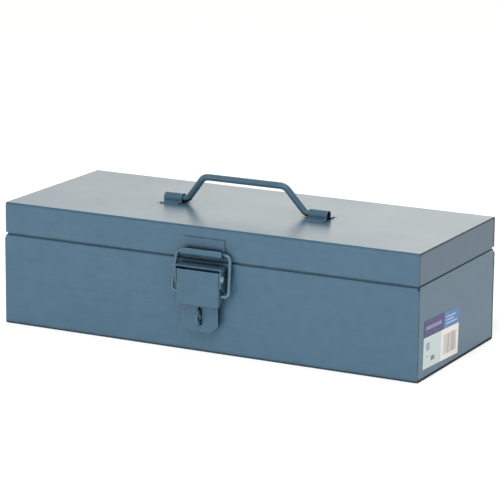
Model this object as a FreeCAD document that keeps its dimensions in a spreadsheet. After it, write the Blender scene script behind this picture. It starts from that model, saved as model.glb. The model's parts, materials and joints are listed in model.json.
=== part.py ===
import FreeCAD, Part
import Sketcher
import os
import re
from FreeCAD import Vector

# Steel toolbox: a folded case with a joggled rim, a hinged lid, a swinging rod handle in two
# saddles and a draw latch with a wire bail, an over-centre lever and a padlock staple.
# Millimetres and degrees. X runs along the length, Y from the front to the back, Z up.
# The origin is the middle of the case's bottom face.

doc = FreeCAD.newDocument("toolbox")

# Driving sizes: name, value, what it measures
SIZE_LIST = (
    ("case_length", 360, "outer length of the case"),
    ("case_depth", 146, "outer depth of the case, front to back"),
    ("case_height", 73, "floor to the shoulder under the lid"),
    ("sheet", 0.8, "sheet steel of case and lid"),
    ("case_bend", 2, "outside radius of the case's lower bends"),
    ("end_bend", 1.5, "outside radius of the bends of the end pans"),
    ("shoulder_bend", 1.2, "outside radius of the bend at the shoulder"),
    ("rim_step", 1.7, "how far the rim is set in"),
    ("rim_height", 5.5, "rim above the shoulder"),
    ("rim_play", 0.2, "gap between the rims of wall and end pan"),
    ("relief_width", 1, "width of the notch at the rim's corners"),
    ("relief_height", 2.2, "height of the notch at the rim's corners"),
    ("end_flange", 12, "flange of an end pan, from its outer face"),
    ("lid_gap", 1.8, "gap between the shoulder and the closed lid"),
    ("lid_height", 24.2, "height of the lid"),
    ("lid_inset", 0.5, "lid set in from the case at the front and the ends"),
    ("lid_bend", 1.8, "outside radius of the lid's long bends"),
    ("flange_lift", 1.5, "lid flanges above the rim"),
    ("hinge_inset", 70, "middle of a hinge from the end of the case"),
    ("hinge_length", 50, "length of a hinge"),
    ("hinge_leaf", 1, "sheet of the hinge leaves"),
    ("leaf_height", 16, "leaf's edge from the hinge axis"),
    ("leaf_corner", 2, "rounded corners of a leaf"),
    ("pin_radius", 1.2, "radius of a hinge pin"),
    ("pin_play", 0.05, "running fit of the pin in its knuckles"),
    ("pin_head", 0.5, "height of a pin's peened head"),
    ("pin_head_radius", 1.7, "radius of a pin's peened head"),
    ("knuckle_gap", 0.3, "gap between knuckles"),
    ("rod_radius", 2.65, "radius of the handle's rod"),
    ("rod_lift", 0.6, "rod above the lid in its saddles"),
    ("stub_forward", 3.2, "handle's axis in front of the middle"),
    ("stub_inset", 1.5, "rod ends inside the saddles' outer edges"),
    ("handle_foot", 52.2, "leg's lower corner from the middle"),
    ("handle_corner", 35.8, "leg's upper corner from the middle"),
    ("handle_rise", 20.8, "bar above the handle's axis, along the legs' plane"),
    ("handle_tilt", 10.5, "tilt of the handle towards the front at rest"),
    ("foot_bend", 5.5, "centre line radius of the lower bends"),
    ("bar_bend", 8.5, "centre line radius of the upper bends"),
    ("saddle_centre", 63.9, "middle of a saddle from the middle of the box"),
    ("saddle_width", 15.8, "width of a saddle's strap"),
    ("saddle_sheet", 1, "sheet of a saddle"),
    ("saddle_play", 0.5, "gap between the rod and the arch"),
    ("saddle_foot", 11, "strap's slit from the handle's axis"),
    ("saddle_tab", 5, "length of the tab clinched under the lid"),
    ("saddle_bend", 1.3, "outside radius of the strap's bends"),
    ("saddle_root", 0.5, "inside radius where the arch meets the foot"),
    ("crown_flat", 0.4, "flat left at the top of a full round"),
    ("slit_play", 0.2, "gap between strap and slit"),
    ("slit_extra", 2.5, "slit longer than the strap is wide, at each end"),
    ("hook_width", 35.7, "width of the catch hook"),
    ("hook_sheet", 1, "sheet of the catch hook"),
    ("hook_height", 15.5, "top of the catch hook above the lid's lower edge"),
    ("trough_lift", 2.9, "floor of the hook's trough above the lid's lower edge"),
    ("trough_width", 4.45, "width of the trough"),
    ("trough_bend", 2, "inside radius of the trough"),
    ("lip_height", 4.9, "hook's lip above the trough's floor"),
    ("wire_radius", 1.2, "radius of the bail's wire"),
    ("wire_play", 0.08, "running fit of the wire in the lever's cheeks"),
    ("bar_back_gap", 0.25, "bail's bar in front of the hook's plate"),
    ("bar_lift", 0.7, "bail's bar above the trough's floor"),
    ("bail_top_bend", 4.5, "centre line radius of the bail's upper bends"),
    ("bail_foot_bend", 3.6, "centre line radius of the bail's lower bends"),
    ("bail_clear", 0.9, "top of the bail's legs clear of the rivet heads, when centred"),
    ("bail_splay", 1.2, "foot of each leg further out than its top"),
    ("bail_shift", 0.5, "bail pushed to the right by its play"),
    ("bail_end_reach", 1.1, "wire past the inside of a cheek"),
    ("bail_pivot_out", 7, "bail's pivot in front of the wall"),
    ("bail_pivot_drop", 24.7, "bail's pivot below the shoulder"),
    ("pivot_out", 7.8, "lever's rivets in front of the wall"),
    ("pivot_drop", 11.2, "lever's rivets below the shoulder"),
    ("lever_sheet", 1, "sheet of the lever"),
    ("lever_width", 37.2, "width of the lever over its cheeks"),
    ("lever_reach", 11.2, "lever's face in front of the wall"),
    ("lever_back", 2, "cheeks' rear edge in front of the wall"),
    ("lever_top_drop", 6, "lever's top below the shoulder"),
    ("lever_bottom_drop", 33, "lower edge of the lever's face below the shoulder"),
    ("lever_slope_drop", 26.5, "start of the cheeks' slope below the shoulder"),
    ("lever_nose", 4.5, "radius of the cheeks' upper rear corners"),
    ("lever_bend", 1.6, "outside radius of the lever's upright bends"),
    ("joggle_bend", 1.25, "outside radius of the step above the tongue"),
    ("joggle_drop", 2, "height of the step above the tongue"),
    ("tongue_reach", 6.4, "tongue's face in front of the wall"),
    ("tongue_width", 31, "width of the tongue"),
    ("tongue_drop", 54.8, "tongue's end below the shoulder"),
    ("tongue_cut_across", 7, "width of the tongue's cut corners"),
    ("tongue_cut_up", 4.8, "height of the tongue's cut corners"),
    ("slot_width", 3.7, "width of the tongue's slot"),
    ("slot_top_drop", 35.6, "upper end of the slot below the shoulder"),
    ("slot_bottom_drop", 50, "lower end of the slot below the shoulder"),
    ("slot_corner", 1.2, "rounded corners of the slot"),
    ("base_sheet", 1.2, "sheet of the latch base"),
    ("base_top_drop", 4.5, "top of the latch base below the shoulder"),
    ("base_plate_drop", 24, "end of the base's wide part below the shoulder"),
    ("base_strip_drop", 53, "end of the base's strip below the shoulder"),
    ("base_strip_width", 22, "width of the base's strip"),
    ("base_strip_corner", 3, "rounded corners of the strip"),
    ("base_bend", 2, "outside radius of the bends at the ears"),
    ("ear_play", 0.3, "gap between an ear and the lever's cheek"),
    ("ear_reach", 10.6, "front edge of the ears from the wall"),
    ("ear_slope_drop", 17.5, "front end of the ears' slope below the shoulder"),
    ("ear_slope_out", 2.5, "rear end of the ears' slope from the wall"),
    ("ear_corner", 2, "rounded upper front corners of the ears"),
    ("rivet_radius", 1.5, "radius of a lever rivet's shank"),
    ("rivet_play", 0.05, "running fit of ears and cheeks on the rivets"),
    ("rivet_head", 1.1, "height of a rivet's outer head"),
    ("rivet_head_radius", 2.8, "radius of a rivet's outer head"),
    ("rivet_edge", 0.3, "height of a rivet head's straight edge"),
    ("rivet_crown", 1.6, "radius of the flat on a rivet's outer head"),
    ("rivet_inner_head", 0.8, "height of a rivet's inner head"),
    ("rivet_inner_radius", 2, "radius of a rivet's inner head"),
    ("rivet_inner_gap", 0.15, "inner head clear of the cheek"),
    ("staple_sheet", 1.4, "sheet of the padlock staple"),
    ("staple_reach", 12.1, "front of the staple's round nose from the wall"),
    ("staple_drop", 43.5, "middle of the staple's hole below the shoulder"),
    ("staple_hole", 2.2, "radius of the staple's hole"),
    ("staple_rim", 1.2, "metal in front of the staple's hole"),
    ("staple_root", 12.4, "height of the staple"),
    ("staple_fit", 0.05, "gap between the staple and the base's slot"),
    ("label_width", 66, "width of the shelf label"),
    ("label_height", 37, "height of the shelf label"),
    ("label_sheet", 0.15, "thickness of the shelf label"),
    ("label_corner", 0.8, "rounded corners of the shelf label"),
    ("label_forward", 29.3, "middle of the label in front of the middle of the box"),
    ("label_up", 25.5, "middle of the label above the floor"),
    ("label_tilt", 2.2, "label stuck on a little askew"),
    ("overrun", 2, "how far a cut runs past the metal"),
)
KNUCKLES = 3

# Places worked out from the sizes above
PLACES = {
    "end_out": "case_length / 2",
    "wall_out": "case_depth / 2",
    "wall_in": "wall_out - sheet",
    "rim_out": "wall_out - rim_step",
    "rim_end": "end_out - rim_step",
    "rim_top": "case_height + rim_height",
    "lid_front": "wall_out - lid_inset",
    "lid_end": "end_out - lid_inset",
    "lid_low": "case_height + lid_gap",
    "lid_top": "lid_low + lid_height",
    "lid_front_in": "lid_front - sheet",
    "barrel_radius": "pin_radius + pin_play + hinge_leaf",
    "hinge_up": "case_height + lid_gap / 2",
    "knuckle_length": f"(hinge_length - {KNUCKLES - 1} * knuckle_gap) / {KNUCKLES}",
    "leaf_start": "barrel_radius + knuckle_gap",
    "axis_lift": "rod_lift + rod_radius",
    "arch_in": "rod_radius + saddle_play",
    "arch_out": "arch_in + saddle_sheet",
    "tab_end": "saddle_foot - saddle_tab",
    "tab_low": "sheet + saddle_sheet",
    "hook_face": "lid_inset - hook_sheet",
    "lip_in": "hook_face - trough_width",
    "lip_out": "lip_in - hook_sheet",
    "trough_floor": "lid_gap + trough_lift",
    "bar_out": "wire_radius + bar_back_gap - hook_face",
    "bar_up": "trough_floor + wire_radius + bar_lift",
    "cheek_in": "lever_width / 2 - lever_sheet",
    "ear_in": "lever_width / 2 + ear_play",
    "ear_out": "ear_in + base_sheet",
    "bail_half": "ear_out + rivet_head + bail_clear + wire_radius",
    "bail_foot_half": "bail_half + bail_splay",
    "bail_run": "bail_pivot_out - bar_out",
    "bail_climb": "bar_up + bail_pivot_drop",
    "lever_face_in": "lever_reach - lever_sheet",
    "tongue_face_in": "tongue_reach - lever_sheet",
    "joggle_pitch": "joggle_drop / (lever_reach - tongue_reach)",
    "joggle_sheet": "lever_sheet * sqrt(1 + joggle_pitch ^ 2)",
    "staple_hole_out": "staple_reach - staple_rim - staple_hole",
}

sheet_object = doc.addObject("Spreadsheet::Sheet", "Sizes")
for row, (name, value, note) in enumerate(SIZE_LIST, start=1):
    sheet_object.set(f"A{row}", name)
    sheet_object.set(f"B{row}", str(value))
    sheet_object.set(f"C{row}", note)
    sheet_object.setAlias(f"B{row}", name)
SIZE_NAMES = {name for name, value, note in SIZE_LIST}
doc.recompute()

parts = []


def formula(text):
    """A sum of named sizes and places, written out in the cells of the sheet."""

    def spell(match):
        name = match.group(0)
        if name in PLACES:
            return "(" + formula(PLACES[name]) + ")"
        return "Sizes." + name if name in SIZE_NAMES else name

    return re.sub(r"[A-Za-z_]\w*", spell, text)


def number(owner, text):
    """What a formula comes to now."""
    value = owner.evalExpression(formula(text))
    return float(getattr(value, "Value", value))


def new_part(label, x="0", y="0", z="0", turn=None):
    """A piece of the toolbox, placed at x, y, z and turned about X."""
    body = doc.addObject("PartDesign::Body", label)
    body.Label = label
    body.setExpression("Placement.Base.x", formula(x))
    body.setExpression("Placement.Base.y", formula(y))
    body.setExpression("Placement.Base.z", formula(z))
    if turn:
        body.Placement = FreeCAD.Placement(Vector(), FreeCAD.Rotation(Vector(1, 0, 0), 1))
        body.setExpression("Placement.Rotation.Angle", formula(turn))
    parts.append(body)
    return body


def new_sketch(body, name, role, away="0"):
    """An empty sketch on one of the body's own planes, moved along the plane's normal."""
    sketch = body.newObject("Sketcher::SketchObject", f"{body.Label}_{name}")
    own_plane = next(item for item in body.Origin.OriginFeatures if item.Role == role)
    sketch.AttachmentSupport = [(own_plane, "")]
    sketch.MapMode = "FlatFace"
    if away != "0":
        sketch.setExpression("AttachmentOffset.Base.z", formula(away))
    return sketch


def place_point(sketch, shape, end, point):
    """Ties one point of a sketch to its two formulas."""
    for kind, text in zip(("DistanceX", "DistanceY"), point):
        value = number(sketch, text)
        index = sketch.addConstraint(Sketcher.Constraint(kind, -1, 1, shape, end, value))
        sketch.setExpression(f"Constraints[{index}]", formula(text))


def line_sketch(body, name, role, points, rounds=None, away="0", closed=True):
    """Straight sides through the points; rounds gives the radius of the corners that are bent."""
    sketch = new_sketch(body, name, role, away)
    spots = [Vector(number(sketch, across), number(sketch, up), 0) for across, up in points]
    count = len(points) if closed else len(points) - 1
    for side in range(count):
        end = spots[(side + 1) % len(points)]
        sketch.addGeometry(Part.LineSegment(spots[side], end), False)
    for side in range(count if closed else count - 1):
        following = (side + 1) % count
        sketch.addConstraint(Sketcher.Constraint("Coincident", side, 2, following, 1))
    for corner, point in enumerate(points):
        if corner < count:
            place_point(sketch, corner, 1, point)
        else:
            place_point(sketch, corner - 1, 2, point)
    sketch.solve()
    for corner, radius in (rounds or {}).items():
        arc = sketch.GeometryCount
        value = number(sketch, radius)
        sketch.fillet((corner - 1) % count, 2, value, True, True)
        index = sketch.addConstraint(Sketcher.Constraint("Radius", arc, value))
        sketch.setExpression(f"Constraints[{index}]", formula(radius))
    return sketch


def disc_sketch(body, name, role, centre, radius, away="0"):
    """A circle round a point."""
    sketch = new_sketch(body, name, role, away)
    middle = Vector(number(sketch, centre[0]), number(sketch, centre[1]), 0)
    value = number(sketch, radius)
    sketch.addGeometry(Part.Circle(middle, Vector(0, 0, 1), value), False)
    place_point(sketch, 0, 3, centre)
    index = sketch.addConstraint(Sketcher.Constraint("Radius", 0, value))
    sketch.setExpression(f"Constraints[{index}]", formula(radius))
    return sketch


def pad(body, sketch, length, both_ways=False):
    """Metal of the sketch's outline."""
    feature = body.newObject("PartDesign::Pad", sketch.Name + "_pad")
    feature.Profile = sketch
    feature.setExpression("Length", formula(length))
    feature.Midplane = both_ways
    sketch.Visibility = False
    doc.recompute()
    return feature


def cut(body, sketch, depth=None):
    """An opening of the sketch's outline: right through, or a depth against the normal."""
    before = body.Shape.Volume
    feature = body.newObject("PartDesign::Pocket", sketch.Name + "_cut")
    feature.Profile = sketch
    if depth:
        feature.setExpression("Length", formula(depth))
    else:
        feature.Type = "ThroughAll"
        feature.Midplane = True
    sketch.Visibility = False
    doc.recompute()
    if body.Shape.Volume >= before:
        raise RuntimeError(f"{feature.Name} cuts nothing")
    return feature


def round_edges(body, places, radius):
    """Rounds the edges of a body that pass through the places, given in its own frame."""
    tip = body.Tip
    spots = [Part.Vertex(Vector(*[number(tip, text) for text in place])) for place in places]
    names = []
    for index, edge in enumerate(tip.Shape.Edges, start=1):
        if any(edge.distToShape(spot)[0] < Part.Precision.approximation() for spot in spots):
            names.append(f"Edge{index}")
    if len(names) != len(places):
        raise RuntimeError(f"{body.Label}: {len(names)} edges found for {len(places)} places")
    feature = body.newObject("PartDesign::Fillet", body.Label + "_rounding")
    feature.Base = (tip, names)
    feature.setExpression("Radius", formula(radius))
    doc.recompute()
    return feature


def wire_form(body, path, section):
    """A round wire along a path."""
    feature = body.newObject("PartDesign::AdditivePipe", body.Label + "_pipe")
    feature.Profile = section
    feature.Spine = (path, [f"Edge{number + 1}" for number in range(len(path.Shape.Edges))])
    path.Visibility = False
    section.Visibility = False
    doc.recompute()
    return feature


def turned(body, sketch):
    """A turned solid about the body's X axis."""
    feature = body.newObject("PartDesign::Revolution", sketch.Name + "_turned")
    feature.Profile = sketch
    own_axis = next(item for item in body.Origin.OriginFeatures if item.Role == "X_Axis")
    feature.ReferenceAxis = (own_axis, [""])
    feature.Angle = 360
    sketch.Visibility = False
    doc.recompute()
    return feature


def make_case_wrap():
    """Front, floor and back in one sheet, joggled inwards at the rim."""
    body = new_part("case_wrap")
    profile = line_sketch(body, "profile", "YZ_Plane", [
        ("-rim_out", "rim_top"),
        ("-rim_out", "case_height"),
        ("-wall_out", "case_height"),
        ("-wall_out", "0"),
        ("wall_out", "0"),
        ("wall_out", "case_height"),
        ("rim_out", "case_height"),
        ("rim_out", "rim_top"),
        ("rim_out - sheet", "rim_top"),
        ("rim_out - sheet", "case_height - sheet"),
        ("wall_in", "case_height - sheet"),
        ("wall_in", "sheet"),
        ("-wall_in", "sheet"),
        ("-wall_in", "case_height - sheet"),
        ("-rim_out + sheet", "case_height - sheet"),
        ("-rim_out + sheet", "rim_top"),
    ], {
        1: "shoulder_bend - sheet",
        2: "shoulder_bend",
        3: "case_bend",
        4: "case_bend",
        5: "shoulder_bend",
        6: "shoulder_bend - sheet",
        9: "shoulder_bend",
        10: "shoulder_bend - sheet",
        11: "case_bend - sheet",
        12: "case_bend - sheet",
        13: "shoulder_bend - sheet",
        14: "shoulder_bend",
    })
    pad(body, profile, "case_length", both_ways=True)
    for name, side in (("left", "-1"), ("right", "1")):
        notch = line_sketch(body, f"notch_{name}", "XZ_Plane", [
            (f"{side} * (end_out - relief_width)", "case_height - relief_height"),
            (f"{side} * (end_out + overrun)", "case_height - relief_height"),
            (f"{side} * (end_out + overrun)", "rim_top + overrun"),
            (f"{side} * rim_end", "rim_top + overrun"),
            (f"{side} * rim_end", "case_height"),
            (f"{side} * (end_out - relief_width)", "case_height"),
        ])
        cut(body, notch)


def pan_section(body, side, end, front, back):
    """The U of an end pan seen from above: flange, face, flange."""
    return line_sketch(body, "section", "XY_Plane", [
        (f"{side} * ({end} - end_flange)", front),
        (f"{side} * {end}", front),
        (f"{side} * {end}", back),
        (f"{side} * ({end} - end_flange)", back),
        (f"{side} * ({end} - end_flange)", f"{back} - sheet"),
        (f"{side} * ({end} - sheet)", f"{back} - sheet"),
        (f"{side} * ({end} - sheet)", f"{front} + sheet"),
        (f"{side} * ({end} - end_flange)", f"{front} + sheet"),
    ], {1: "end_bend", 2: "end_bend", 5: "end_bend - sheet", 6: "end_bend - sheet"},
        away="lid_low" if end == "lid_end" else "sheet + end_bend")


def make_case_end(name, side):
    """An end of the case: a pan with flanges inside the wrap and its own stretch of rim."""
    body = new_part(f"case_end_{name}")
    profile = line_sketch(body, "profile", "XZ_Plane", [
        (f"{side} * (end_out - end_flange)", "sheet"),
        (f"{side} * end_out", "sheet"),
        (f"{side} * end_out", "case_height"),
        (f"{side} * rim_end", "case_height"),
        (f"{side} * rim_end", "rim_top"),
        (f"{side} * (rim_end - sheet)", "rim_top"),
        (f"{side} * (rim_end - sheet)", "case_height - sheet"),
        (f"{side} * (end_out - sheet)", "case_height - sheet"),
        (f"{side} * (end_out - sheet)", "2 * sheet"),
        (f"{side} * (end_out - end_flange)", "2 * sheet"),
    ], {
        1: "end_bend",
        2: "shoulder_bend",
        3: "shoulder_bend - sheet",
        6: "shoulder_bend",
        7: "shoulder_bend - sheet",
        8: "end_bend - sheet",
    })
    pad(body, profile, "2 * (wall_in - end_bend)", both_ways=True)
    section = pan_section(body, side, "end_out", "-wall_in", "wall_in")
    pad(body, section, "case_height - relief_height - sheet - end_bend")
    for edge, way in (("front", "-1"), ("back", "1")):
        corner = line_sketch(body, f"{edge}_corner", "YZ_Plane", [
            (f"{way} * (rim_out - sheet - rim_play)", "case_height - shoulder_bend"),
            (f"{way} * (wall_out + overrun)", "case_height - shoulder_bend"),
            (f"{way} * (wall_out + overrun)", "rim_top + overrun"),
            (f"{way} * (rim_out - sheet - rim_play)", "rim_top + overrun"),
        ])
        cut(body, corner)


def make_lid_wrap():
    """Front, top and back of the lid in one sheet, with slits for the saddles."""
    body = new_part("lid_wrap")
    profile = line_sketch(body, "profile", "YZ_Plane", [
        ("-lid_front", "lid_low"),
        ("-lid_front", "lid_top"),
        ("wall_out", "lid_top"),
        ("wall_out", "lid_low"),
        ("wall_in", "lid_low"),
        ("wall_in", "lid_top - sheet"),
        ("-lid_front_in", "lid_top - sheet"),
        ("-lid_front_in", "lid_low"),
    ], {1: "lid_bend", 2: "lid_bend", 5: "lid_bend - sheet", 6: "lid_bend - sheet"})
    pad(body, profile, "2 * lid_end", both_ways=True)
    slit_half = "(saddle_width / 2 + slit_extra)"
    for name, side in (("left", "-1"), ("right", "1")):
        for edge, way in (("front", "-1"), ("back", "1")):
            near = f"{way} * (saddle_foot - saddle_sheet - slit_play) - stub_forward"
            far = f"{way} * (saddle_foot + slit_play) - stub_forward"
            slit = line_sketch(body, f"slit_{name}_{edge}", "XY_Plane", [
                (f"{side} * saddle_centre - {slit_half}", near),
                (f"{side} * saddle_centre + {slit_half}", near),
                (f"{side} * saddle_centre + {slit_half}", far),
                (f"{side} * saddle_centre - {slit_half}", far),
            ], away="lid_top")
            cut(body, slit, "2 * sheet")


def make_lid_end(name, side):
    """An end of the lid: a pan whose flanges stop above the case's rim."""
    body = new_part(f"lid_end_{name}")
    profile = line_sketch(body, "profile", "XZ_Plane", [
        (f"{side} * lid_end", "lid_low"),
        (f"{side} * lid_end", "lid_top - sheet"),
        (f"{side} * (lid_end - end_flange)", "lid_top - sheet"),
        (f"{side} * (lid_end - end_flange)", "lid_top - 2 * sheet"),
        (f"{side} * (lid_end - sheet)", "lid_top - 2 * sheet"),
        (f"{side} * (lid_end - sheet)", "lid_low"),
    ], {1: "end_bend", 4: "end_bend - sheet"}, away="end_bend - wall_in")
    pad(body, profile, "lid_front_in + wall_in - 2 * end_bend")
    section = pan_section(body, side, "lid_end", "-lid_front_in", "wall_in")
    pad(body, section, "lid_height - sheet - end_bend")
    flanges = line_sketch(body, "flange_cut", "XZ_Plane", [
        (f"{side} * (lid_end - end_flange - overrun)", "lid_low - overrun"),
        (f"{side} * (lid_end - sheet)", "lid_low - overrun"),
        (f"{side} * (lid_end - sheet)", "rim_top + flange_lift"),
        (f"{side} * (lid_end - end_flange - overrun)", "rim_top + flange_lift"),
    ])
    cut(body, flanges)


def make_hinge_leaf(label, x, way, knuckles):
    """A hinge leaf on the back wall; way is -1 for the case's leaf and 1 for the lid's."""
    body = new_part(label, x=x, y="wall_out + barrel_radius", z="hinge_up")
    plate = line_sketch(body, "plate", "XZ_Plane", [
        ("-hinge_length / 2", f"{way} * leaf_start"),
        ("hinge_length / 2", f"{way} * leaf_start"),
        ("hinge_length / 2", f"{way} * leaf_height"),
        ("-hinge_length / 2", f"{way} * leaf_height"),
    ], {2: "leaf_corner", 3: "leaf_corner"}, away="barrel_radius - hinge_leaf")
    pad(body, plate, "hinge_leaf")
    for knuckle in knuckles:
        start = f"{knuckle} * (knuckle_length + knuckle_gap) - hinge_length / 2"
        barrel = disc_sketch(body, f"barrel_{knuckle}", "YZ_Plane", ("0", "0"), "barrel_radius", start)
        pad(body, barrel, "knuckle_length")
        root = line_sketch(body, f"root_{knuckle}", "YZ_Plane", [
            ("-barrel_radius", "0"),
            ("hinge_leaf - barrel_radius", "0"),
            ("hinge_leaf - barrel_radius", f"{way} * leaf_start"),
            ("-barrel_radius", f"{way} * leaf_start"),
        ], away=start)
        pad(body, root, "knuckle_length")
    bore = disc_sketch(body, "bore", "YZ_Plane", ("0", "0"), "pin_radius + pin_play")
    cut(body, bore)


def make_hinge_pin(label, x):
    """A hinge pin with a peened head at each end."""
    body = new_part(label, x=x, y="wall_out + barrel_radius", z="hinge_up")
    inner = "(hinge_length / 2 + knuckle_gap / 2)"
    outer = "(hinge_length / 2 + knuckle_gap / 2 + pin_head)"
    profile = line_sketch(body, "profile", "XZ_Plane", [
        (f"-{outer}", "0"),
        (f"-{outer}", "pin_radius"),
        (f"-{inner}", "pin_head_radius"),
        (f"-{inner}", "pin_radius"),
        (inner, "pin_radius"),
        (inner, "pin_head_radius"),
        (outer, "pin_radius"),
        (outer, "0"),
    ])
    turned(body, profile)


def make_handle():
    """The handle: one bent rod, modelled upright about its axis and then leaned."""
    body = new_part("handle_rod", y="-stub_forward", z="lid_top + axis_lift", turn="handle_tilt")
    stub_end = "(saddle_centre + saddle_width / 2 - stub_inset)"
    path = line_sketch(body, "path", "XZ_Plane", [
        (f"-{stub_end}", "0"),
        ("-handle_foot", "0"),
        ("-handle_corner", "handle_rise"),
        ("handle_corner", "handle_rise"),
        ("handle_foot", "0"),
        (stub_end, "0"),
    ], {1: "foot_bend", 2: "bar_bend", 3: "bar_bend", 4: "foot_bend"}, closed=False)
    section = disc_sketch(body, "section", "YZ_Plane", ("0", "0"), "rod_radius", f"-{stub_end}")
    doc.recompute()
    wire_form(body, path, section)


def make_saddle(name, side):
    """A saddle: a strap arched over the rod, its ends through the lid and clinched below."""
    body = new_part(
        f"handle_saddle_{name}", x=f"{side} * saddle_centre", y="-stub_forward", z="lid_top")
    half = [
        ("tab_end", "-sheet"),
        ("tab_end", "-tab_low"),
        ("saddle_foot", "-tab_low"),
        ("saddle_foot", "saddle_sheet"),
        ("arch_out", "saddle_sheet"),
        ("arch_out", "axis_lift + arch_out"),
    ]
    inside = [
        ("arch_in", "axis_lift + arch_in"),
        ("arch_in", "0"),
        ("saddle_foot - saddle_sheet", "0"),
        ("saddle_foot - saddle_sheet", "-sheet"),
    ]
    left = [(f"-({across})", up) for across, up in half]
    inside_left = [(f"-({across})", up) for across, up in reversed(inside)]
    profile = line_sketch(
        body, "profile", "YZ_Plane", left + half[::-1] + inside[::-1] + inside_left[::-1],
        {
            2: "saddle_bend",
            3: "saddle_bend",
            4: "saddle_root",
            5: "arch_out - crown_flat / 2",
            6: "arch_out - crown_flat / 2",
            7: "saddle_root",
            8: "saddle_bend",
            9: "saddle_bend",
            14: "saddle_root + saddle_sheet",
            15: "arch_in - crown_flat / 2",
            16: "arch_in - crown_flat / 2",
            17: "saddle_root + saddle_sheet",
        })
    pad(body, profile, "saddle_width", both_ways=True)


def latch_part(label, y="0", z="0", turn=None):
    """A piece of the latch, placed from the shoulder at the middle of the front wall."""
    return new_part(label, y=f"-wall_out - ({y})", z=f"case_height - ({z})", turn=turn)


def make_catch_hook():
    """The catch on the lid: a plate whose lower edge is rolled up into a trough."""
    body = latch_part("catch_hook")
    profile = line_sketch(body, "profile", "YZ_Plane", [
        ("lid_inset", "lid_gap + hook_height"),
        ("lid_inset", "trough_floor - hook_sheet"),
        ("lip_out", "trough_floor - hook_sheet"),
        ("lip_out", "trough_floor + lip_height"),
        ("lip_in", "trough_floor + lip_height"),
        ("lip_in", "trough_floor"),
        ("hook_face", "trough_floor"),
        ("hook_face", "lid_gap + hook_height"),
    ], {
        1: "trough_bend + hook_sheet",
        2: "trough_bend + hook_sheet",
        5: "trough_bend",
        6: "trough_bend",
    })
    pad(body, profile, "hook_width", both_ways=True)


def make_latch_base():
    """The latch base on the case: a plate with two ears and a strip for the staple."""
    body = latch_part("latch_base")
    section = line_sketch(body, "section", "XY_Plane", [
        ("-ear_out", "-ear_reach"),
        ("-ear_out", "0"),
        ("ear_out", "0"),
        ("ear_out", "-ear_reach"),
        ("ear_in", "-ear_reach"),
        ("ear_in", "-base_sheet"),
        ("-ear_in", "-base_sheet"),
        ("-ear_in", "-ear_reach"),
    ], {1: "base_bend", 2: "base_bend", 5: "base_bend - base_sheet", 6: "base_bend - base_sheet"},
        away="-base_plate_drop")
    pad(body, section, "base_plate_drop - base_top_drop")
    round_edges(body, [
        ("ear_in + base_sheet / 2", "-ear_reach", "-base_top_drop"),
        ("-ear_in - base_sheet / 2", "-ear_reach", "-base_top_drop"),
    ], "ear_corner")
    strip = line_sketch(body, "strip", "XZ_Plane", [
        ("-base_strip_width / 2", "-base_strip_drop"),
        ("base_strip_width / 2", "-base_strip_drop"),
        ("base_strip_width / 2", "base_bend - base_plate_drop"),
        ("-base_strip_width / 2", "base_bend - base_plate_drop"),
    ], {0: "base_strip_corner", 1: "base_strip_corner"})
    pad(body, strip, "base_sheet")
    slope = line_sketch(body, "ear_slope", "YZ_Plane", [
        ("-ear_slope_out", "-base_plate_drop - overrun"),
        ("-ear_slope_out", "-base_plate_drop"),
        ("-ear_reach", "-ear_slope_drop"),
        ("-ear_reach - overrun", "-ear_slope_drop"),
        ("-ear_reach - overrun", "-base_plate_drop - overrun"),
    ])
    cut(body, slope)
    hole = disc_sketch(
        body, "rivet_hole", "YZ_Plane", ("-pivot_out", "-pivot_drop"), "rivet_radius + rivet_play")
    cut(body, hole)
    slot_half = "staple_sheet / 2 + staple_fit"
    slot_up = "staple_root / 2 + staple_fit"
    slot = line_sketch(body, "staple_slot", "XZ_Plane", [
        (f"-({slot_half})", f"-staple_drop - ({slot_up})"),
        (slot_half, f"-staple_drop - ({slot_up})"),
        (slot_half, f"-staple_drop + {slot_up}"),
        (f"-({slot_half})", f"-staple_drop + {slot_up}"),
    ])
    cut(body, slot)


def make_staple():
    """The padlock staple: an upright round-nosed tab with a hole, set through the strip's slot."""
    body = latch_part("padlock_staple", z="staple_drop")
    outline = line_sketch(body, "outline", "YZ_Plane", [
        ("0", "-staple_root / 2"),
        ("0", "staple_root / 2"),
        ("-staple_reach", "staple_root / 2"),
        ("-staple_reach", "-staple_root / 2"),
    ], {2: "(staple_root - crown_flat) / 2", 3: "(staple_root - crown_flat) / 2"})
    pad(body, outline, "staple_sheet", both_ways=True)
    hole = disc_sketch(body, "hole", "YZ_Plane", ("-staple_hole_out", "0"), "staple_hole")
    cut(body, hole)


def make_rivets():
    """The two rivets that carry the lever, each through an ear and a cheek."""
    body = latch_part("lever_rivets", y="pivot_out", z="pivot_drop")
    inner = "cheek_in - rivet_inner_gap"
    profile = line_sketch(body, "profile", "XZ_Plane", [
        (f"{inner} - rivet_inner_head", "0"),
        (f"{inner} - rivet_inner_head", "rivet_inner_radius"),
        (inner, "rivet_inner_radius"),
        (inner, "rivet_radius"),
        ("ear_out", "rivet_radius"),
        ("ear_out", "rivet_head_radius"),
        ("ear_out + rivet_edge", "rivet_head_radius"),
        ("ear_out + rivet_head", "rivet_crown"),
        ("ear_out + rivet_head", "0"),
    ])
    single = turned(body, profile)
    pair = body.newObject("PartDesign::Mirrored", "rivet_pair")
    pair.Originals = [single]
    own_plane = next(item for item in body.Origin.OriginFeatures if item.Role == "YZ_Plane")
    pair.MirrorPlane = (own_plane, [""])
    body.Tip = pair
    doc.recompute()


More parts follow.
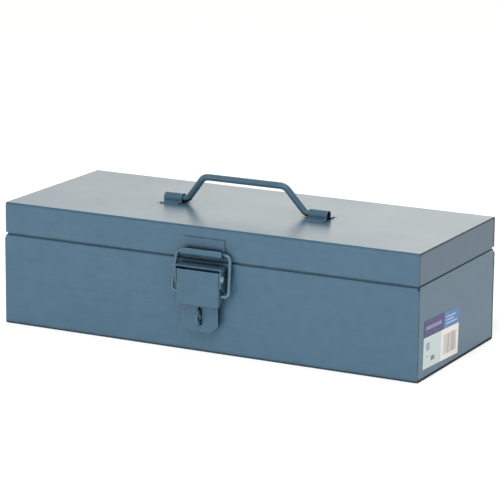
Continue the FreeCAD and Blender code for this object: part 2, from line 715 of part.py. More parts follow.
def make_lever():
    """The lever: a folded channel on the rivets, stepped back into a slotted tongue."""
    body = latch_part("latch_lever")
    cheeks = line_sketch(body, "cheeks", "YZ_Plane", [
        ("-lever_reach", "-lever_bottom_drop"),
        ("-lever_reach", "-lever_top_drop"),
        ("-lever_back", "-lever_top_drop"),
        ("-lever_back", "-lever_slope_drop"),
        ("-lever_face_in", "-lever_bottom_drop"),
    ], {2: "lever_nose"})
    pad(body, cheeks, "lever_width", both_ways=True)
    middle = "-(lever_top_drop + lever_bottom_drop) / 2"
    round_edges(body, [
        ("lever_width / 2", "-lever_reach", middle),
        ("-lever_width / 2", "-lever_reach", middle),
    ], "lever_bend")
    hollow = line_sketch(body, "hollow", "XY_Plane", [
        ("-cheek_in", "overrun"),
        ("-cheek_in", "-lever_face_in"),
        ("cheek_in", "-lever_face_in"),
        ("cheek_in", "overrun"),
    ], {1: "lever_bend - lever_sheet", 2: "lever_bend - lever_sheet"})
    cut(body, hollow)
    tongue = line_sketch(body, "tongue", "YZ_Plane", [
        ("-lever_reach", "joggle_bend - lever_bottom_drop"),
        ("-lever_reach", "-lever_bottom_drop"),
        ("-tongue_reach", "-lever_bottom_drop - joggle_drop"),
        ("-tongue_reach", "-tongue_drop"),
        ("-tongue_face_in", "-tongue_drop"),
        ("-tongue_face_in", "joggle_sheet - lever_bottom_drop - joggle_drop - joggle_pitch * lever_sheet"),
        ("-lever_face_in", "joggle_sheet - lever_bottom_drop - joggle_pitch * lever_sheet"),
        ("-lever_face_in", "joggle_bend - lever_bottom_drop"),
    ], {2: "joggle_bend - lever_sheet", 5: "joggle_bend"})
    pad(body, tongue, "tongue_width", both_ways=True)
    for name, side in (("left", "-1"), ("right", "1")):
        corner = line_sketch(body, f"corner_{name}", "XZ_Plane", [
            (f"{side} * (tongue_width / 2 - tongue_cut_across)", "-tongue_drop"),
            (f"{side} * tongue_width / 2", "tongue_cut_up - tongue_drop"),
            (f"{side} * (tongue_width / 2 + overrun)", "tongue_cut_up - tongue_drop"),
            (f"{side} * (tongue_width / 2 + overrun)", "-tongue_drop - overrun"),
            (f"{side} * (tongue_width / 2 - tongue_cut_across)", "-tongue_drop - overrun"),
        ])
        cut(body, corner)
    slot = line_sketch(body, "slot", "XZ_Plane", [
        ("-slot_width / 2", "-slot_bottom_drop"),
        ("slot_width / 2", "-slot_bottom_drop"),
        ("slot_width / 2", "-slot_top_drop"),
        ("-slot_width / 2", "-slot_top_drop"),
    ], {0: "slot_corner", 1: "slot_corner", 2: "slot_corner", 3: "slot_corner"})
    cut(body, slot)
    rivet_hole = disc_sketch(
        body, "rivet_hole", "YZ_Plane", ("-pivot_out", "-pivot_drop"), "rivet_radius + rivet_play")
    cut(body, rivet_hole)
    wire_hole = disc_sketch(
        body, "wire_hole", "YZ_Plane", ("-bail_pivot_out", "-bail_pivot_drop"),
        "wire_radius + wire_play")
    cut(body, wire_hole)


def make_bail():
    """The bail: a wire loop whose ends turn into the lever's cheeks; its bar lies in the hook."""
    body = latch_part(
        "latch_bail", y="bail_pivot_out", z="bail_pivot_drop", turn="-atan(bail_run / bail_climb)")
    wire_end = "(cheek_in - bail_end_reach)"
    bail_length = "hypot(bail_run; bail_climb)"
    path = line_sketch(body, "path", "XZ_Plane", [
        (f"-{wire_end}", "0"),
        ("bail_shift - bail_foot_half", "0"),
        ("bail_shift - bail_half", bail_length),
        ("bail_shift + bail_half", bail_length),
        ("bail_shift + bail_foot_half", "0"),
        (wire_end, "0"),
    ], {1: "bail_foot_bend", 2: "bail_top_bend", 3: "bail_top_bend", 4: "bail_foot_bend"}, closed=False)
    section = disc_sketch(body, "section", "YZ_Plane", ("0", "0"), "wire_radius", f"-{wire_end}")
    doc.recompute()
    wire_form(body, path, section)


def make_label():
    """The blank shelf label on the right end."""
    body = new_part("shelf_label", x="end_out", y="-label_forward", z="label_up", turn="-label_tilt")
    face = line_sketch(body, "face", "YZ_Plane", [
        ("-label_width / 2", "-label_height / 2"),
        ("label_width / 2", "-label_height / 2"),
        ("label_width / 2", "label_height / 2"),
        ("-label_width / 2", "label_height / 2"),
    ], {corner: "label_corner" for corner in range(4)})
    pad(body, face, "label_sheet")


make_case_wrap()
make_lid_wrap()
for name, side in (("left", "-1"), ("right", "1")):
    make_case_end(name, side)
    make_lid_end(name, side)
    make_saddle(name, side)
    hinge_x = f"{side} * (end_out - hinge_inset)"
    make_hinge_leaf(f"hinge_case_leaf_{name}", hinge_x, "-1", range(0, KNUCKLES, 2))
    make_hinge_leaf(f"hinge_lid_leaf_{name}", hinge_x, "1", range(1, KNUCKLES, 2))
    make_hinge_pin(f"hinge_pin_{name}", hinge_x)
make_handle()
make_catch_hook()
make_latch_base()
make_staple()
make_rivets()
make_lever()
make_bail()
make_label()
doc.recompute()

for item in doc.Objects:
    if "Invalid" in item.State or "Error" in item.State:
        raise RuntimeError(f"{item.Label} failed: {item.State}")
for body in parts:
    if body.Shape.isNull() or not body.Shape.isValid():
        raise RuntimeError(f"{body.Label} has no valid shape")

os.makedirs("parts", exist_ok=True)
for body in parts:
    body.Shape.exportStep(f"parts/{body.Label}.step")
    box = body.Shape.BoundBox
    print(
        f"{body.Label}: {len(body.Shape.Solids)} solids, {body.Shape.Volume:.0f} mm3,"
        f" x {box.XMin:.2f} {box.XMax:.2f}, y {box.YMin:.2f} {box.YMax:.2f},"
        f" z {box.ZMin:.2f} {box.ZMax:.2f}")
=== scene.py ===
import json
import math
import random

import bmesh
import bpy
from mathutils import Matrix, Vector


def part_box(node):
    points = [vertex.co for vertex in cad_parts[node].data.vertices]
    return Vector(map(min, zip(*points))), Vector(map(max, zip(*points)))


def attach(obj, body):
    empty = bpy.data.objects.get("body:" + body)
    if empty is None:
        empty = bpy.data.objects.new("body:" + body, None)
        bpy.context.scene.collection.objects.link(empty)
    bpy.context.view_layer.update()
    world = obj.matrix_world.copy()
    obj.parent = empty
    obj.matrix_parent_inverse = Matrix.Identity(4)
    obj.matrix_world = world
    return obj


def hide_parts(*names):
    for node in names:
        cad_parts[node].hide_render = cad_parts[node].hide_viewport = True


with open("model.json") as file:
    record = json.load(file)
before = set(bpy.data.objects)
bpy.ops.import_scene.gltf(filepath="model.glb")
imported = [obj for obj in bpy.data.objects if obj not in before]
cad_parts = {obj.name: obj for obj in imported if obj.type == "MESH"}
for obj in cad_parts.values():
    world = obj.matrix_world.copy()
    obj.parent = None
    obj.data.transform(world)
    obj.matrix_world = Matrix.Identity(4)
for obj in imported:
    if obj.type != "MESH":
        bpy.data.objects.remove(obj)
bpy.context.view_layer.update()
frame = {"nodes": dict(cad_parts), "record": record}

# A small folded steel toolbox in blue-grey enamel, with a draw latch, a rod handle and a shelf label.
# Metres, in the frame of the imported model: X along the length, Y from front to back, Z up.
MM = 0.001
nodes = frame["nodes"]
scene = bpy.context.scene


def linear(code):
    """An sRGB colour such as 5A7B92 as linear light with full opacity."""
    shares = [int(code[start:start + 2], 16) / 255 for start in (0, 2, 4)]
    return [c / 12.92 if c <= 0.04045 else ((c + 0.055) / 1.055) ** 2.4 for c in shares] + [1]


def add(tree, kind, settings=None, links=None):
    """Adds a node, sets its properties or sockets, and links sockets to the outputs of others."""
    node = tree.nodes.new(kind)
    for name, value in (settings or {}).items():
        if isinstance(name, str) and hasattr(node, name):
            setattr(node, name, value)
        else:
            node.inputs[name].default_value = value
    for name, output in (links or {}).items():
        tree.links.new(output, node.inputs[name])
    return node


def new_material(name, settings):
    """An empty material with one shader, whose even values are set on its own sockets."""
    material = bpy.data.materials.new(name)
    material.use_nodes = True
    tree = material.node_tree
    tree.nodes.clear()
    shader = add(tree, "ShaderNodeBsdfPrincipled", settings)
    add(tree, "ShaderNodeOutputMaterial", links={"Surface": shader.outputs["BSDF"]})
    return material, tree, shader


def period(length_mm):
    """The scale of a noise whose lumps are this long."""
    return 1 / (length_mm * MM)


# Sockets of a colour mix
FACTOR, FIRST, SECOND, MIXED = 0, 6, 7, 2

# The marks in the enamel, in millimetres
CLOUD = 70          # the size of the broad uneven areas of the spray
FLECK = 9           # and of the small ones
BAND_LENGTH = 60    # the spray leaves faint level bands
BAND_SPACING = 2
SWELL = 110         # the size of the sheet's dents, which make reflections waver
SWELL_HEIGHT = 0.5
PEEL = 1.8          # the real peel is about 1 from lump to lump, drawn coarser so that it shows
PEEL_HEIGHT = 0.02
EDGE_WEAR_AND_HIGHLIGHT = 0.7     # how far the thin paint and painted highlight of an edge reach
SEAM_DEPTH = 8      # seams and corners closer together than this get painted shade

ENAMEL_IOR = 1.52
BAND_SHARE = 0.25   # how much of the tone follows the bands
SMOOTHER = 0.05     # how far the roughness goes down and up over the broad areas
ROUGHER = 0.06
# the dark colour painted into seams and corners as shade
SEAM_PAINTED_SHADE = "0C2230"
SEAM_ROUGHNESS = 0.8
RELIEF = 0.5        # the strength of the dents and the peel
EDGE_SAMPLES = 4
SEAM_SAMPLES = 8

# The part of a noise or a mask over which its effect grows
TONE_RANGE = {"From Min": 0.2, "From Max": 0.55}
EDGE_RANGE = {"From Min": 0.97, "From Max": 0.8}
PAINTED_SHADE_RANGE = {"From Min": 0.52, "From Max": 0.62}
CUT_END_SHADE_RANGE = {"From Min": 0.95, "From Max": 0.8, "To Min": 0.2}
WEAR_AND_HIGHLIGHT_RANGE = {"From Min": 0.35, "From Max": 0.6, "To Min": 0.4}


def enamel(name, paint, pale, rub_and_highlight, roughness, lumps=PEEL_HEIGHT, shaded_cut_ends=False):
    """Semi-gloss alkyd enamel, sprayed on degreased sheet steel and stoved.

    The film pulls thin at folded and cut edges and has a fine orange peel; its edges are made paler,
    partly for the thin paint and partly as a painted highlight. Seams and corners are darkened as
    painted shade. The lumps are the height of the peel in millimetres. A sheet with cut ends lies over
    the end pans, and its cut edges, which face along X, are darkened as painted shade."""
    material, tree, shader = new_material(name, {"IOR": ENAMEL_IOR})
    coordinates = add(tree, "ShaderNodeTexCoord")
    place = {"Vector": coordinates.outputs["Object"]}
    cloud = add(tree, "ShaderNodeTexNoise", {"Scale": period(CLOUD), "Detail": 3}, place)
    fleck = add(tree, "ShaderNodeTexNoise", {"Scale": period(FLECK), "Detail": 4}, place)
    patch = add(tree, "ShaderNodeMath", {"operation": "MULTIPLY"},
                {0: cloud.outputs["Fac"], 1: fleck.outputs["Fac"]})
    level = add(tree, "ShaderNodeMapping",
                {"Scale": (period(BAND_LENGTH), period(BAND_LENGTH), period(BAND_SPACING))}, place)
    bands = add(tree, "ShaderNodeTexNoise", {"Scale": 1, "Detail": 2},
                {"Vector": level.outputs["Vector"]})
    layer = add(tree, "ShaderNodeMath", {"operation": "MULTIPLY_ADD", 1: BAND_SHARE},
                {0: bands.outputs["Fac"], 2: patch.outputs["Value"]})
    tone = add(tree, "ShaderNodeMapRange", TONE_RANGE, {"Value": layer.outputs["Value"]})
    body = add(tree, "ShaderNodeMix",
               {"data_type": "RGBA", FIRST: linear(paint), SECOND: linear(pale)},
               {FACTOR: tone.outputs["Result"]})

    rounded = add(tree, "ShaderNodeBevel", {"samples": EDGE_SAMPLES, "Radius": EDGE_WEAR_AND_HIGHLIGHT * MM})
    surface = add(tree, "ShaderNodeNewGeometry")
    bend = add(tree, "ShaderNodeVectorMath", {"operation": "DOT_PRODUCT"},
               {0: rounded.outputs["Normal"], 1: surface.outputs["Normal"]})
    edge = add(tree, "ShaderNodeMapRange", EDGE_RANGE,
               {"Value": bend.outputs["Value"]}).outputs["Result"]
    # Painted shade: where ambient occlusion finds a seam or corner, the colour darkens towards the seam
    # colour and the roughness rises
    crevice = add(tree, "ShaderNodeAmbientOcclusion",
                  {"samples": SEAM_SAMPLES, "Distance": SEAM_DEPTH * MM})
    unshaded = add(tree, "ShaderNodeMapRange", PAINTED_SHADE_RANGE,
                {"Value": crevice.outputs["AO"]}).outputs["Result"]
    # Painted shade: faces of the sheet that face along X, its cut ends at the seams, take the dark seam
    # colour and lose the paler edge
    if shaded_cut_ends:
        facing = add(tree, "ShaderNodeSeparateXYZ", links={"Vector": coordinates.outputs["Normal"]})
        along = add(tree, "ShaderNodeMath", {"operation": "ABSOLUTE"}, {0: facing.outputs["X"]})
        cut_end_unshaded = add(tree, "ShaderNodeMapRange", CUT_END_SHADE_RANGE, {"Value": along.outputs["Value"]})
        edge, unshaded = [
            add(tree, "ShaderNodeMath", {"operation": "MULTIPLY"},
                {0: mask, 1: cut_end_unshaded.outputs["Result"]}).outputs["Value"]
            for mask in (edge, unshaded)]
    # Paler edges: partly thin paint, partly painted highlight, broken into patches by the small flecks
    uneven = add(tree, "ShaderNodeMapRange", WEAR_AND_HIGHLIGHT_RANGE, {"Value": fleck.outputs["Fac"]})
    worn_and_highlit = add(tree, "ShaderNodeMath", {"operation": "MULTIPLY", "use_clamp": True},
               {0: edge, 1: uneven.outputs["Result"]})
    # Painted shade: the seam colour takes the place of the paint in seams and corners
    film = add(tree, "ShaderNodeMix", {"data_type": "RGBA", FIRST: linear(SEAM_PAINTED_SHADE)},
               {FACTOR: unshaded, SECOND: body.outputs[MIXED]})
    colour = add(tree, "ShaderNodeMix", {"data_type": "RGBA", SECOND: linear(rub_and_highlight)},
                 {FACTOR: worn_and_highlit.outputs["Value"], FIRST: film.outputs[MIXED]})
    tree.links.new(colour.outputs[MIXED], shader.inputs["Base Color"])

    gloss = add(tree, "ShaderNodeMapRange",
                {"To Min": roughness - SMOOTHER, "To Max": roughness + ROUGHER},
                {"Value": cloud.outputs["Fac"]})
    dull = add(tree, "ShaderNodeMapRange", {"To Min": SEAM_ROUGHNESS},
               {"Value": unshaded, "To Max": gloss.outputs["Result"]})
    tree.links.new(dull.outputs["Result"], shader.inputs["Roughness"])

    swell = add(tree, "ShaderNodeTexNoise", {"Scale": period(SWELL), "Detail": 1}, place)
    waver = add(tree, "ShaderNodeBump", {"Strength": RELIEF, "Distance": SWELL_HEIGHT * MM},
                {"Height": swell.outputs["Fac"], "Normal": rounded.outputs["Normal"]})
    peel = add(tree, "ShaderNodeTexNoise", {"Scale": period(PEEL), "Detail": 2}, place)
    skin = add(tree, "ShaderNodeBump", {"Strength": RELIEF, "Distance": lumps * MM},
               {"Height": peel.outputs["Fac"], "Normal": waver.outputs["Normal"]})
    tree.links.new(skin.outputs["Normal"], shader.inputs["Normal"])
    return material


# The lines that the drawing die leaves on the hinge pins, in millimetres
LINE_LENGTH = 20
LINE_SPACING = 0.3  # the real ones are finer than 0.1, drawn coarser so that they show
LINE_DEPTH = 0.02
LINE_RELIEF = 0.3
STEEL = "A9ABAC"
STEEL_ROUGHNESS = {"To Min": 0.28, "To Max": 0.45}


def drawn_steel(name):
    """Cold drawn mild steel wire, oiled: grey, with fine lines along its length."""
    material, tree, shader = new_material(name, {"Metallic": 1, "Base Color": linear(STEEL)})
    place = {"Vector": add(tree, "ShaderNodeTexCoord").outputs["Object"]}
    along = add(tree, "ShaderNodeMapping",
                {"Scale": (period(LINE_LENGTH), period(LINE_SPACING), period(LINE_SPACING))}, place)
    lines = add(tree, "ShaderNodeTexNoise", {"Scale": 1, "Detail": 3},
                {"Vector": along.outputs["Vector"]})
    rough = add(tree, "ShaderNodeMapRange", STEEL_ROUGHNESS, {"Value": lines.outputs["Fac"]})
    tree.links.new(rough.outputs["Result"], shader.inputs["Roughness"])
    relief = add(tree, "ShaderNodeBump", {"Strength": LINE_RELIEF, "Distance": LINE_DEPTH * MM},
                 {"Height": lines.outputs["Fac"]})
    tree.links.new(relief.outputs["Normal"], shader.inputs["Normal"])
    return material


# The label's film and its print, with sizes in millimetres
INK_GRAIN = 1.2     # the size of the spots where the ink is thin
CREASE = 14         # the film isn't quite flat
CREASE_HEIGHT = 0.1
CREASE_RELIEF = 0.25
FILM_WHITE = "F4F4F2"
FILM_FACE = {"IOR": 1.49, "Specular IOR Level": 0.3, "Roughness": 0.38}
THIN_INK = {"From Min": 0.35, "From Max": 0.75, "To Max": 0.07}


def printed_film(name, ink):
    """Flexographic ink on a white polypropylene label film: slightly uneven ink under a satin face."""
    material, tree, shader = new_material(name, FILM_FACE)
    place = {"Vector": add(tree, "ShaderNodeTexCoord").outputs["Object"]}
    grain = add(tree, "ShaderNodeTexNoise", {"Scale": period(INK_GRAIN), "Detail": 4}, place)
    thin = add(tree, "ShaderNodeMapRange", THIN_INK, {"Value": grain.outputs["Fac"]})
    colour = add(tree, "ShaderNodeMix",
                 {"data_type": "RGBA", FIRST: linear(ink), SECOND: linear(FILM_WHITE)},
                 {FACTOR: thin.outputs["Result"]})
    tree.links.new(colour.outputs[MIXED], shader.inputs["Base Color"])
    crease = add(tree, "ShaderNodeTexNoise", {"Scale": period(CREASE), "Detail": 2}, place)
    relief = add(tree, "ShaderNodeBump", {"Strength": CREASE_RELIEF, "Distance": CREASE_HEIGHT * MM},
                 {"Height": crease.outputs["Fac"]})
    tree.links.new(relief.outputs["Normal"], shader.inputs["Normal"])
    return material


# The paint of each part: its colour, its paler patches, its edges, paler for thin paint and as a painted
# highlight, and its roughness
CASE_PAINT = ("3D6179", "456A82", "8AA6B6", 0.36)
LID_PAINT = ("3D6179", "456A82", "8AA6B6", 0.33)
# The lid's ends are painted darker as painted shade
LID_END_SHADED_PAINT = ("36586F", "3E6178", "8AA6B6", 0.36)
LATCH_PAINT = ("3A5E76", "41667E", "93AEBC", 0.34)
HANDLE_PAINT = ("46687E", "52758A", "A3BBC7", 0.32)
# The rivet heads are painted paler as a painted highlight
RIVET_HIGHLIT_PAINT = ("7C98A9", "8FA9B8", "BCCBD3", 0.26)
# The bail wire is painted paler than the latch as a painted highlight
BAIL_HIGHLIT_PAINT = ("4A6E85", "5F8094", "A9BCC6", 0.24)
HANDLE_LUMPS = 0.2

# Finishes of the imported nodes, by material slot
FINISHES = {
    "case_enamel": enamel("stoved_enamel_case", *CASE_PAINT),
    "lid_enamel": enamel("stoved_enamel_lid", *LID_PAINT),
    "latch_enamel": enamel("stoved_enamel_latch", *LATCH_PAINT),
    "handle_enamel": enamel("stoved_enamel_handle", *HANDLE_PAINT, lumps=HANDLE_LUMPS),
    "rivets": enamel("enamel_rivet_heads_painted_highlight", *RIVET_HIGHLIT_PAINT),
    "bail_wire": enamel("enamel_bail_wire_painted_highlight", *BAIL_HIGHLIT_PAINT),
    "pin_steel": drawn_steel("drawn_steel_pins"),
    "label_film": printed_film("label_film_white", "F0F1F0"),
}
# Nodes with a finish of their own. The lid's end pans are painted a little darker than its sheet as
# painted shade
LID_END_SHADED_FINISH = enamel("stoved_enamel_lid_ends_painted_shade", *LID_END_SHADED_PAINT)
OWN_FINISHES = {
    "case_wrap": enamel("stoved_enamel_case_sheet", *CASE_PAINT, shaded_cut_ends=True),
    "lid_wrap": enamel("stoved_enamel_lid_sheet", *LID_PAINT, shaded_cut_ends=True),
    "lid_end_left": LID_END_SHADED_FINISH,
    "lid_end_right": LID_END_SHADED_FINISH,
}
slots = {item["node"]: item["material_slot"] for item in frame["record"]["subparts"]}
for node_name, node in nodes.items():
    node.data.materials.clear()
    node.data.materials.append(OWN_FINISHES.get(node_name, FINISHES[slots[node_name]]))

BEND_STEPS = 4      # how many faces go round a small bend or corner


def finished(name, mesh, body, materials):
    """Turns a bmesh into a piece that rides on a body."""
    bmesh.ops.recalc_face_normals(mesh, faces=mesh.faces)
    data = bpy.data.meshes.new(name)
    mesh.to_mesh(data)
    mesh.free()
    for material in materials:
        data.materials.append(material)
    piece = bpy.data.objects.new(name, data)
    scene.collection.objects.link(piece)
    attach(piece, body)
    return piece


# The rivets of the lever: the radii of shank and inner head, and where the head lies along X
RIVET_SHANK = 1.5 * MM
RIVET_INNER_HEAD = 2 * MM
RIVET_INNER_START = 17.45 * MM
RIVET_INNER_END = 16.65 * MM
RIVET_STEPS = 40            # how many faces go round a rivet
DOME_STEPS = 8              # how many rings its dome has
SAME_POINT = 0.001 * MM     # points closer than this are one
SHARP = math.radians(35)    # an edge that turns more than this isn't smoothed


def lever_rivets():
    """The two rivets of the lever, with domed outer heads."""
    low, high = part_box("lever_rivets")
    ear_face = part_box("latch_base")[1].x
    radius = (high.z - low.z) / 2
    rise = high.x - ear_face
    sphere = (radius ** 2 + rise ** 2) / (2 * rise)
    dome_angle = math.asin(radius / sphere)
    profile = [
        (RIVET_INNER_END, 0),
        (RIVET_INNER_END, RIVET_INNER_HEAD),
        (RIVET_INNER_START, RIVET_INNER_HEAD),
        (RIVET_INNER_START, RIVET_SHANK),
        (ear_face, RIVET_SHANK),
    ]
    for step in range(DOME_STEPS + 1):
        angle = dome_angle * (1 - step / DOME_STEPS)
        profile.append((high.x - sphere + sphere * math.cos(angle), sphere * math.sin(angle)))
    mesh = bmesh.new()
    middle = Vector((0, (low.y + high.y) / 2, (low.z + high.z) / 2))
    points = [mesh.verts.new(middle + Vector((x, 0, up))) for x, up in profile]
    edges = [mesh.edges.new(pair) for pair in zip(points, points[1:])]
    bmesh.ops.spin(
        mesh, geom=points + edges, cent=middle, axis=(1, 0, 0), angle=math.tau, steps=RIVET_STEPS,
        use_merge=True)
    bmesh.ops.remove_doubles(mesh, verts=mesh.verts, dist=SAME_POINT)
    bmesh.ops.mirror(mesh, geom=mesh.verts[:] + mesh.edges[:] + mesh.faces[:], axis="X", merge_dist=0)
    for face in mesh.faces:
        face.smooth = True
    for edge in mesh.edges:
        if edge.is_manifold and edge.calc_face_angle() > SHARP:
            edge.smooth = False
    piece = finished("rivet_heads", mesh, "case", [FINISHES["rivets"]])
    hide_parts("lever_rivets")


# The hood folded forward from the top of the latch base, which closes the latch from above
HOOD_TOP = 1.7 * MM         # how far it stands above the base
HOOD_SHEET = 1.2 * MM
HOOD_DROP = 0.5 * MM        # how far its seat reaches down to the base
HOOD_BEND = 0.9 * MM
FACES_DOWN = -0.5           # a face whose normal rises less than this is an underside
FOLD = math.radians(45)     # an edge that turns more than this is a fold


def latch_hood():
    """A shallow folded tray over the lever's upper end, open to the front, seated on the base."""
    low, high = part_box("latch_base")
    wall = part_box("padlock_staple")[1].y
    mesh = bmesh.new()
    bmesh.ops.create_cube(mesh, size=1)
    middle = Vector((0, (low.y + wall) / 2, high.z + HOOD_TOP - HOOD_SHEET / 2))
    bmesh.ops.scale(mesh, verts=mesh.verts, vec=(high.x - low.x, wall - low.y, HOOD_SHEET))
    bmesh.ops.translate(mesh, verts=mesh.verts, vec=middle)
    ear_in = high.x - HOOD_SHEET
    wall_in = wall - HOOD_SHEET
    for place, way in (((ear_in, 0, 0), (1, 0, 0)), ((-ear_in, 0, 0), (1, 0, 0)),
                       ((0, wall_in, 0), (0, 1, 0))):
        whole = mesh.verts[:] + mesh.edges[:] + mesh.faces[:]
        bmesh.ops.bisect_plane(mesh, geom=whole, plane_co=place, plane_no=way)
    seat = []
    for face in mesh.faces:
        centre = face.calc_center_median()
        if face.normal.z < FACES_DOWN and (abs(centre.x) > ear_in or centre.y > wall_in):
            seat.append(face)
    dropped = bmesh.ops.extrude_face_region(mesh, geom=seat)["geom"]
    bmesh.ops.translate(
        mesh, verts=[item for item in dropped if isinstance(item, bmesh.types.BMVert)],
        vec=(0, 0, -HOOD_DROP))
    bmesh.ops.delete(mesh, geom=seat, context="FACES")
    front = wall - HOOD_SHEET / 2
    rim = [
        edge for edge in mesh.edges
        if all(vertex.co.z > middle.z and vertex.co.y < front for vertex in edge.verts)
        and edge.calc_face_angle() > FOLD]
    bmesh.ops.bevel(
        mesh, geom=rim, offset=HOOD_BEND, affect="EDGES", segments=BEND_STEPS, profile=0.5,
        material=-1)
    finished("latch_hood", mesh, "case", [FINISHES["latch_enamel"]])


# The shelf label, in millimetres
LABEL_WIDTH = 66
LABEL_HEIGHT = 37
LABEL_CORNER = 0.8
LABEL_SHEET = 0.15
LABEL_TILT = math.radians(-2.2)
HEADER_LOW = 24
MINT_END = 32.7
VIOLET_END = 37.6
INKS = {
    "mint": printed_film("label_ink_mint", "CEDDDD"),
    "cream": printed_film("label_ink_cream", "F3EEE8"),
    "violet": printed_film("label_ink_violet", "2E2A70"),
    "blue": printed_film("label_ink_blue", "3C79BA"),
    "pale": printed_film("label_ink_pale", "B9C9E4"),
    "lilac": printed_film("label_ink_lilac", "8683AE"),
    "grey": printed_film("label_ink_grey", "7D746D"),
    "slate": printed_film("label_ink_slate", "93A0B8"),
}
# The label's print. Each field has its left and right end and its lower and upper end, measured
# from the label's lower left corner, and its ink. Later fields lie on earlier ones.
FIELDS = [
    (0, MINT_END, 0, HEADER_LOW, "mint"),
    (MINT_END, LABEL_WIDTH, 0, HEADER_LOW, "cream"),
    (0, VIOLET_END, HEADER_LOW, LABEL_HEIGHT, "violet"),
    (VIOLET_END, LABEL_WIDTH, HEADER_LOW, LABEL_HEIGHT, "blue"),
    (4, 33, 29.5, 32.3, "lilac"),
    (41, 62, 27, 28, "pale"),
    (41, 56, 29.6, 30.6, "pale"),
    (41, 59, 32.2, 33.2, "pale"),
    (5, 11, 13.5, 19.5, "slate"),
    (5, 9, 8.6, 9.5, "slate"),
    (14, 21, 4.5, 8, "grey"),
]
# The upright bars, whose widths and gaps are whole numbers of the unit
BARS_START = 38
BARS_END = 62
BARS_LOW = 4
BARS_HIGH = 19.5
BAR_UNIT = 0.45
BAR_WIDTHS = (1, 1, 1, 2)
BAR_GAPS = (1, 2, 2)
BAR_SEED = 5


def add_bars(fields):
    """Upright bars of uneven width on the cream field."""
    widths = random.Random(BAR_SEED)
    left = BARS_START
    while left < BARS_END:
        right = left + BAR_UNIT * widths.choice(BAR_WIDTHS)
        fields.append((left, min(right, BARS_END), BARS_LOW, BARS_HIGH, "grey"))
        left = right + BAR_UNIT * widths.choice(BAR_GAPS)


def shelf_label():
    """The label's film, whose face is cut into its printed fields."""
    fields = list(FIELDS)
    add_bars(fields)
    mesh = bmesh.new()
    corners = [(0, 0), (LABEL_WIDTH, 0), (LABEL_WIDTH, LABEL_HEIGHT), (0, LABEL_HEIGHT)]
    mesh.faces.new([mesh.verts.new((0, across, up)) for across, up in corners])
    bmesh.ops.bevel(
        mesh, geom=mesh.verts[:], offset=LABEL_CORNER, affect="VERTICES", segments=BEND_STEPS,
        profile=0.5, material=-1)
    for axis, length, ends in (
            (Vector((0, 1, 0)), LABEL_WIDTH, (0, 1)), (Vector((0, 0, 1)), LABEL_HEIGHT, (2, 3))):
        for place in sorted({field[end] for field in fields for end in ends}):
            if 0 < place < length:
                whole = mesh.verts[:] + mesh.edges[:] + mesh.faces[:]
                bmesh.ops.bisect_plane(mesh, geom=whole, plane_co=axis * place, plane_no=axis)
    inks = list(INKS)
    for face in mesh.faces:
        middle = face.calc_center_median()
        for left, right, below, above, ink in fields:
            if left < middle.y < right and below < middle.z < above:
                face.material_index = inks.index(ink)
    bmesh.ops.recalc_face_normals(mesh, faces=mesh.faces)
    bmesh.ops.solidify(mesh, geom=mesh.faces[:], thickness=LABEL_SHEET)
    low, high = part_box("shelf_label")
    front = max(vertex.co.x for vertex in mesh.verts)
    bmesh.ops.translate(mesh, verts=mesh.verts, vec=(-front, -LABEL_WIDTH / 2, -LABEL_HEIGHT / 2))
    bmesh.ops.scale(mesh, verts=mesh.verts, vec=(MM, MM, MM))
    bmesh.ops.rotate(mesh, verts=mesh.verts, matrix=Matrix.Rotation(LABEL_TILT, 3, "X"))
    bmesh.ops.translate(mesh, verts=mesh.verts, vec=(high.x, (low.y + high.y) / 2, (low.z + high.z) / 2))
    piece = finished("label_print", mesh, "case", list(INKS.values()))
    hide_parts("shelf_label")


lever_rivets()
latch_hood()
shelf_label()


TABLE_REACH = 12    # how far the table goes each way, in metres
TABLE_WHITE = "FAFAFA"
TABLE_ROUGHNESS = 0.9
TABLE_GLOW = 0.46
SKY_WHITE = "FFFEF7"
SKY_LEVEL = 0.36
BACKDROP_LEVEL = 1.95
BACKDROP_WAY = (-0.09, 0.976, 0.2)
# How nearly a ray has to go the backdrop's way to see its rim and its full light
BACKDROP_RANGE = {
    "interpolation_type": "SMOOTHSTEP", "From Min": 0.7, "From Max": 0.98, "To Min": SKY_LEVEL,
    "To Max": SKY_LEVEL + BACKDROP_LEVEL}
SUBJECT = Vector((0, 0, 0.05))      # what the lamps are turned to, the middle of the box
# Softboxes: name, place, width in metres and power in watts
LAMPS = (
    ("softbox_above", (0.2, -1.0, 1.5), 0.7, 11.5),
    ("softbox_left", (-0.4, -2.1, 0.75), 0.4, 3.1),
    ("softbox_low", (0.55, -1.7, 0.4), 0.9, 2.8),
)


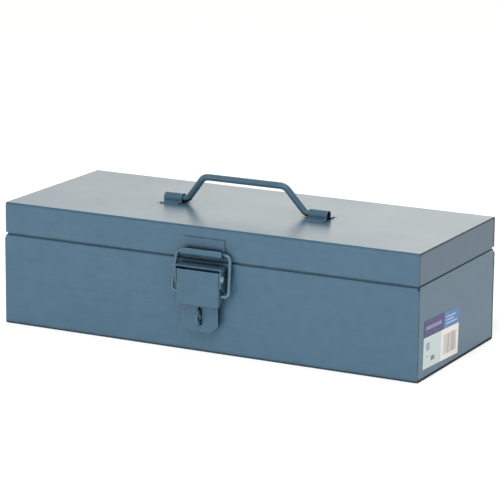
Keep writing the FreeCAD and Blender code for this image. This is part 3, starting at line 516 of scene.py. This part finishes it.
def light_table():
    """A white table that glows a little, so that it looks as white as the backdrop."""
    mesh = bmesh.new()
    bmesh.ops.create_grid(mesh, x_segments=1, y_segments=1, size=TABLE_REACH)
    data = bpy.data.meshes.new("floor")
    mesh.to_mesh(data)
    mesh.free()
    data.materials.append(new_material("white_light_table", {
        "Base Color": linear(TABLE_WHITE), "Roughness": TABLE_ROUGHNESS,
        "Emission Color": linear("FFFFFF"), "Emission Strength": TABLE_GLOW})[0])
    floor = bpy.data.objects.new("floor", data)
    scene.collection.objects.link(floor)


def backdrop():
    """A plain pale sky, bright behind the box."""
    world = bpy.data.worlds.new("studio")
    scene.world = world
    world.use_nodes = True
    tree = world.node_tree
    tree.nodes.clear()
    way = add(tree, "ShaderNodeTexCoord").outputs["Generated"]
    facing = add(tree, "ShaderNodeVectorMath", {"operation": "DOT_PRODUCT", 1: BACKDROP_WAY}, {0: way})
    behind = add(tree, "ShaderNodeMapRange", BACKDROP_RANGE, {"Value": facing.outputs["Value"]})
    sky = add(tree, "ShaderNodeBackground", {"Color": linear(SKY_WHITE)},
              {"Strength": behind.outputs["Result"]})
    add(tree, "ShaderNodeOutputWorld", links={"Surface": sky.outputs["Background"]})


def softboxes():
    """Square lamps in front of the box and above it, turned towards it."""
    for name, place, width, power in LAMPS:
        lamp = bpy.data.lights.new(name, "AREA")
        lamp.size = width
        lamp.energy = power
        light = bpy.data.objects.new(name, lamp)
        scene.collection.objects.link(light)
        light.location = place
        light.rotation_euler = (SUBJECT - light.location).to_track_quat("-Z", "Y").to_euler()


# The photograph's own camera, worked out from the corners of the box
CAMERA_PLACE = Vector((0.9487, -1.8359, 0.5610))
CAMERA_AZIMUTH = math.radians(27.28)
CAMERA_ELEVATION = math.radians(13.47)
CAMERA_ROLL = math.radians(0.52)
CAMERA_LENS = 193.56
SENSOR = 36


def photo_camera():
    """Looks at the box as the photograph does."""
    data = bpy.data.cameras.new("photo_camera")
    data.lens = CAMERA_LENS
    data.sensor_width = SENSOR
    camera = bpy.data.objects.new("photo_camera", data)
    scene.collection.objects.link(camera)
    turn = Matrix.Rotation(CAMERA_AZIMUTH, 4, "Z")
    tilt = Matrix.Rotation(math.radians(90) - CAMERA_ELEVATION, 4, "X")
    roll = Matrix.Rotation(CAMERA_ROLL, 4, "Z")
    camera.matrix_world = Matrix.Translation(CAMERA_PLACE) @ turn @ tilt @ roll
    scene.camera = camera


light_table()
backdrop()
softboxes()
photo_camera()
scene.view_settings.view_transform = "Standard"
